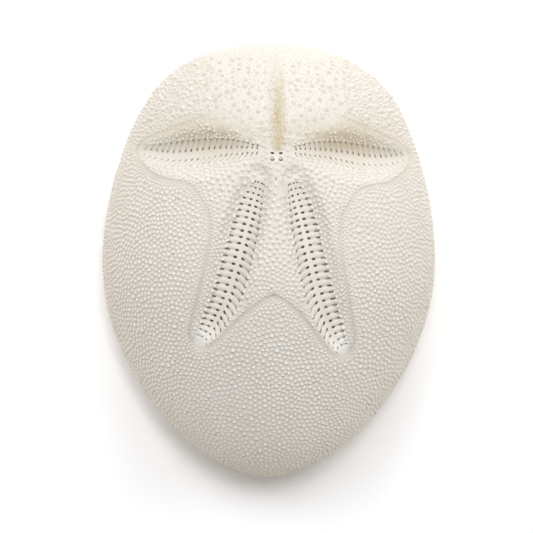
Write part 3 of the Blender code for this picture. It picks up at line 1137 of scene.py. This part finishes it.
def petal_relief(points, up):
    """The ridges between pore pairs and the furrow that joins a pair."""
    height, furrows = np.zeros((2, len(points)))
    near = np.flatnonzero((up > 0.05) & (points[:, 1] > -26) & (points[:, 1] < 33))
    flat = plan(points[near])
    for petal in PETALS:
        places = np.array([petal.pair_place(k) for k in range(-1, petal.pairs + 1)])
        s, t = petal.coordinates(flat)
        along = step(-0.02, 0.05, s)
        for side, outer, inner in PETAL_SIDES:
            t_out, t_in = value_at(petal.rows[outer], s) * side, value_at(petal.rows[inner], s) * side
            share = (t * side - t_in) / np.maximum(t_out - t_in, 0.2)
            lean = value_at(petal.lean[0 if side > 0 else 1], s)
            k = np.interp(s - lean * share / petal.length, places, np.arange(len(places)))
            off = np.abs(k - np.round(k)) * (petal.length / petal.pairs)
            within = step(-0.35, 0.0, share) * step(1.45, 1.1, share) * along * step(1.02, 0.96, s)
            between = step(-0.1, 0.15, share) * step(1.15, 0.85, share) * within
            furrow = step(0.30, 0.06, off) * between
            ridge = step(0.16, 0.46, off) * within * step(0, 0.25, s)
            height[near] += petal.ridge * ridge - 0.7 * petal.ridge * furrow
            furrows[near] = np.maximum(furrows[near], furrow)
    return height, furrows


def pore_relief(points, pores):
    """Depth and darkness of the pores, which have steep sides and low rims, and the apical ones' light rims."""
    height, dark, rim = np.zeros((3, len(points)))
    owner, apart = nearest(pores.tree, points)
    near = np.flatnonzero(apart < 1.2)
    owner = owner[near]
    gap, q = pores.share(points[near], owner)
    depth = pores.depth[owner]
    height[near] = -depth * step(1.05, 0.45, q) + np.where(depth > 0.35, 0.10, 0.03) * bump(q, 1.45, 0.3)
    behind = 0.18 + 0.82 * step(-0.15, 0.4, -gap[:, 1] / pores.half_width[owner])
    hole = np.where(pores.plugged[owner], step(1.2, 1.0, q) * behind, step(1.12, 0.7, q))
    dark[near] = hole * pores.dark[owner]
    rim[near] = bump(q, 1.35, 0.4) * pores.apical[owner]
    return height, dark, rim


def granule_relief(points, up, granules):
    """Height and light tops of the frontal stripe's granules, and how much browner each one is."""
    height, tops, browner = np.zeros((3, len(points)))
    x, y = points[:, 0], points[:, 1]
    near = np.flatnonzero((up > 0) & (np.abs(x - 0.2) < 2.6) & (y > 24) & (y < 49))
    owner, apart = nearest(tree_of(ground(granules)), points[near])
    tops[near] = step(0.26, 0.08, apart) * rng.uniform(0.1, 1.0, len(granules))[owner]
    height[near] = 0.13 * np.sqrt(np.maximum(0, 1 - (apart / 0.21) ** 2))
    browner[near] = rng.uniform(-1.0, 1.0, len(granules))[owner]
    return height, tops, browner


def stripe_stain(points, up, tops, browner):
    """How brown the frontal stripe is at each point."""
    x, y = points[:, 0] - 0.25, points[:, 1]
    width = np.interp(y, [24.8, 26.5, 30, 38, 44], [0.5, 1.3, 1.75, 1.6, 1.3]) + 0.3 * browner
    strength = np.interp(y, [25, 28, 36, 39, 41, 44, 48.5], [0.85, 0.85, 0.78, 0.62, 0.38, 0.16, 0.0])
    edge = np.exp(-((np.abs(x) / width) ** 2.8))
    smudge = 0.4 * bump(points[:, 0], -0.3, 1.1) * bump(y, -7.8, 0.6)
    grain = (1.05 + 0.3 * browner) * (1 - 0.85 * tops)
    return (edge * strength * step(24.6, 25.2, y) * grain + smudge) * (up > 0)


def painted_slope_shade(points, up):
    """Painted shade: the slopes in front of the front petals are painted a little darker, the right-hand one
    more.
    """
    x, y = plan(points).T
    side = np.where(points[:, 0] > 0, 0.60, 0.46)
    return side * bump(x, 16, 10.5) * bump(y, 28.0, 4.4) * (up > 0)


def edge_relief(points, up):
    """The raised edges of the mouth and the vent."""
    mouth = np.where(up < 0, mouth_distance(points), 9)
    return 0.22 * bump(mouth, 0.55, 0.5) + 0.25 * bump(vent_distance(points), 0.6, 0.5)


def relief_and_paint(places, beads, pores, granules):
    """How far each point stands above the ground, and its four shares of paint."""
    p, up = places.p, places.up
    rise, bead, pit = bead_relief(places, beads)
    ridges, furrows = petal_relief(p, up)
    depth, dark, rim = pore_relief(p, pores)
    grains, tops, browner = granule_relief(p, up, granules)
    apart, strength = band_distance(p, up)
    band = step(BAND_HALF_WIDTH + 0.25, BAND_HALF_WIDTH - 0.15, apart) * strength
    smooth = np.where(up < -0.3, step(0.2, -0.2, naked_distance(p)), 0)
    relief = rise + ridges + depth + grains - 0.10 * np.maximum(band, smooth) + 0.05 * undulation(p * 0.5)
    bead = np.maximum(np.maximum(bead, pale_share(p, up) * (1 - pit)), rim)
    # The stripe's own stain, plus painted shade on the front slopes that leaves the beads' tops pale.
    stain_and_shade = stripe_stain(p, up, tops, browner) + painted_slope_shade(p, up) * (1 - 0.8 * bead)
    # The hollow share is painted shade in the pits and dishes and darker furrows, with the band's own tone,
    # deeper towards the rear.
    hollow = np.maximum(pit, (0.36 + 0.2 * step(6, -6, p[:, 1])) * band) + furrows * 0.5
    return relief + edge_relief(p, up), np.column_stack([bead, hollow, stain_and_shade, dark])


# ---- The pieces ----
def new_piece(name, points, faces, normals, paint, uv, material):
    """One mesh piece of the faces, with its share of the points."""
    used, local = np.unique(faces, return_inverse=True)
    local = local.ravel()
    mesh = bpy.data.meshes.new(name)
    mesh.vertices.add(len(used))
    mesh.vertices.foreach_set("co", (points[used] / MM).ravel())
    mesh.loops.add(faces.size)
    mesh.loops.foreach_set("vertex_index", local.astype(np.int32))
    mesh.polygons.add(len(faces))
    mesh.polygons.foreach_set("loop_start", np.arange(0, faces.size, 3, dtype=np.int32))
    mesh.update(calc_edges=True)
    flat = uv[used]
    low, high = flat.min(axis=0), flat.max(axis=0)
    flat = (flat - low) / (high - low).max() * 0.98 + 0.01
    mesh.uv_layers.new(name="OFBake").data.foreach_set("uv", flat[local].ravel())
    mesh.attributes.new("paint", "FLOAT_COLOR", "POINT").data.foreach_set("color", paint[used].ravel())
    mesh.shade_smooth()
    mesh.normals_split_custom_set_from_vertices(normals[used].tolist())
    mesh.materials.append(material)
    piece = bpy.data.objects.new(name, mesh)
    bpy.context.scene.collection.objects.link(piece)
    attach(piece, "root")
    return piece


def shares_of(everything, middle, faces):
    """Which triangles of the skin go into which piece."""
    under = (everything[faces, 2] <= 0).all(axis=1)
    crown = ~under & inside_band(middle)
    x, y, _ = middle.T
    rest = ~under & ~crown
    return {
        "shell_crown": crown,
        "shell_front": rest & (y > FRONT_PIECE_FROM),
        "shell_left": rest & (y <= FRONT_PIECE_FROM) & (x < 0),
        "shell_right": rest & (y <= FRONT_PIECE_FROM) & (x >= 0),
        "shell_under_front": under & (y > 0),
        "shell_under_rear": under & (y <= 0),
    }


def build():
    """The whole shell as mesh pieces: six of one continuous skin, and the inside of the wall."""
    beads = Beads()
    pores = Pores()
    granules = stripe_granules()
    loops = hole_directions()
    directions = skin_points(beads, pores, granules)
    everything, faces = closed_mesh(directions, rim_directions(RIM_POINTS), loops)
    places = Places(everything)
    relief, paint = relief_and_paint(places, beads, pores, granules)
    points = places.p + relief[:, None] * places.n
    points[:, 2] = np.maximum(points[:, 2], FLOOR_GAP)
    inner, inner_faces = inner_skin(loops)
    whole = np.vstack([points, inner])
    joined = lips(loops, RIM_POINTS, len(points) + INNER_RIM_POINTS, whole)
    inside = np.vstack([inner_faces + len(points), joined])
    normals = vertex_normals(whole, np.vstack([faces, inside]))
    material = calcite()
    upper, lower = chart(everything, 1), chart(everything, -1)
    pieces = []
    for name, chosen in shares_of(everything, places.p[faces].mean(axis=1), faces).items():
        uv = lower if "under" in name else upper
        pieces.append(new_piece(name, points, faces[chosen], normals, paint, uv, material))
    paint = np.vstack([paint, np.zeros((len(inner), 4))])
    uv = np.vstack([upper, inner[:, :2]])
    pieces.append(new_piece("shell_inside", whole, inside, normals, paint, uv, material))
    return pieces


# ---- Materials, floor and light ----
def feed(tree, socket, value):
    """Links a node's input to another node's output, or gives it a value."""
    if isinstance(value, bpy.types.NodeSocket):
        tree.links.new(value, socket)
    else:
        socket.default_value = value


def node_of(tree, kind, *values, **named):
    """A node with its first inputs fed in order, and others and its settings by name."""
    node = tree.nodes.new(kind)
    for name, value in named.items():
        socket = name.replace("_", " ")
        if socket in node.inputs:
            feed(tree, node.inputs[socket], value)
        else:
            setattr(node, name, value)
    for socket, value in zip(node.inputs, values):
        feed(tree, socket, value)
    return node


def mixed(tree, factor, first, second):
    """One colour or the other, by the factor."""
    mix = node_of(tree, "ShaderNodeMix", data_type="RGBA", Factor=factor, A=first, B=second)
    return mix.outputs["Result"]


def noise_share(tree, where, scale, detail, found, given):
    """Noise over the object, stretched from one span of values to another."""
    noise = node_of(tree, "ShaderNodeTexNoise", Vector=where, Scale=scale, Detail=detail)
    return node_of(tree, "ShaderNodeMapRange", noise.outputs[0], *found, *given).outputs["Result"]


def calcite():
    """Dry, bleached stereom, coloured by the paint that the meshes carry."""
    material = bpy.data.materials.new("bleached_calcite")
    material.use_nodes = True
    tree = material.node_tree
    inputs = tree.nodes["Principled BSDF"].inputs
    inputs["Specular IOR Level"].default_value = 0.3
    where = tree.nodes.new("ShaderNodeTexCoord").outputs["Object"]
    feed(tree, inputs["Roughness"], noise_share(tree, where, 900.0, 2.0, (0.3, 0.7), (0.62, 0.82)))
    clouds = noise_share(tree, where, 140.0, 4.0, (0.42, 0.72), (0.0, 0.25))
    colour = mixed(tree, clouds, GROUND_COLOUR, WARM_COLOUR)
    paint = node_of(tree, "ShaderNodeAttribute", attribute_name="paint").outputs
    shares = [*node_of(tree, "ShaderNodeSeparateColor", paint["Color"]).outputs, paint["Alpha"]]
    # The second share paints shade into pits, dishes and furrows and gives the band its tone; the third adds
    # painted shade on the front slopes to the stripe's stain.
    for share, tint in zip(shares, (BEAD_COLOUR, PIT_SHADE_AND_BAND_COLOUR, STAIN_AND_SHADE_COLOUR, PORE_COLOUR)):
        colour = mixed(tree, share, colour, tint)
    feed(tree, inputs["Base Color"], colour)
    grain = node_of(tree, "ShaderNodeTexVoronoi", feature="SMOOTH_F1", Vector=where, Scale=GRAIN, Smoothness=0.5)
    height = node_of(tree, "ShaderNodeMath", grain.outputs["Distance"], -1.0, operation="MULTIPLY")
    relief = node_of(tree, "ShaderNodeBump", Strength=0.5, Distance=0.00006, Height=height.outputs[0])
    feed(tree, inputs["Normal"], relief.outputs["Normal"])
    return material


def pale_world():
    """A dim warm world that lights the shell, and a plain white one that the camera sees."""
    world = bpy.data.worlds.new("studio")
    bpy.context.scene.world = world
    world.use_nodes = True
    tree = world.node_tree
    background = tree.nodes["Background"]
    path = tree.nodes.new("ShaderNodeLightPath").outputs
    rays = (path["Is Camera Ray"], path["Is Transmission Ray"])
    seen = node_of(tree, "ShaderNodeMath", *rays, operation="MAXIMUM").outputs[0]
    strength = node_of(tree, "ShaderNodeMapRange", Value=seen, To_Min=WORLD_STRENGTH, To_Max=1.0)
    feed(tree, background.inputs["Strength"], strength.outputs["Result"])
    feed(tree, background.inputs["Color"], mixed(tree, seen, WORLD_COLOUR, WHITE))


def white_floor():
    """A white floor that keeps the shadow."""
    mesh = bpy.data.meshes.new("floor")
    far = FLOOR_HALF_SIZE
    mesh.from_pydata([(-far, -far, 0), (far, -far, 0), (far, far, 0), (-far, far, 0)], [], [(0, 1, 2, 3)])
    floor = bpy.data.objects.new("floor", mesh)
    bpy.context.scene.collection.objects.link(floor)
    material = bpy.data.materials.new("white_floor")
    material.use_nodes = True
    tree = material.node_tree
    tree.nodes.clear()
    by_camera = tree.nodes.new("ShaderNodeLightPath").outputs["Is Camera Ray"]
    diffuse = node_of(tree, "ShaderNodeBsdfDiffuse", Color=mixed(tree, by_camera, FLOOR_BOUNCE, FLOOR_SEEN))
    node_of(tree, "ShaderNodeOutputMaterial", Surface=diffuse.outputs[0])
    mesh.materials.append(material)


def softboxes():
    """Broad soft light from above and in front, and weaker light from low down."""
    for name, height, turn, size, power in SOFTBOXES:
        lamp = bpy.data.lights.new(name, "AREA")
        lamp.size = size
        lamp.energy = power
        box = bpy.data.objects.new(name, lamp)
        height, turn = math.radians(height), math.radians(turn)
        flat = math.cos(height)
        away = Vector((flat * math.sin(turn), flat * math.cos(turn), math.sin(height)))
        box.location = away * SOFTBOX_DISTANCE
        box.rotation_euler = away.to_track_quat("Z", "Y").to_euler()
        box.visible_camera = False
        bpy.context.scene.collection.objects.link(box)


def camera():
    """The photograph's view: from straight above, a little to the left, the front at the top."""
    data = bpy.data.cameras.new("camera")
    data.sensor_width = SENSOR
    data.lens = SENSOR * CAMERA_DISTANCE / PICTURE_WIDTH
    data.clip_start = 0.5
    data.clip_end = 20
    view = bpy.data.objects.new("camera", data)
    back = Vector((-math.sin(CAMERA_TILT), 0, math.cos(CAMERA_TILT))).normalized()
    right = Vector((-math.sin(CAMERA_LEAN), math.cos(CAMERA_LEAN), 0)).cross(back).normalized()
    turn = Matrix((right, back.cross(right), back)).transposed().to_4x4()
    view.matrix_world = Matrix.Translation(CAMERA_TARGET + back * CAMERA_DISTANCE) @ turn
    bpy.context.scene.collection.objects.link(view)
    bpy.context.scene.camera = view


for piece in build():
    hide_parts(NODE)
bpy.context.scene.view_settings.view_transform = "Standard"
pale_world()
white_floor()
softboxes()
camera()
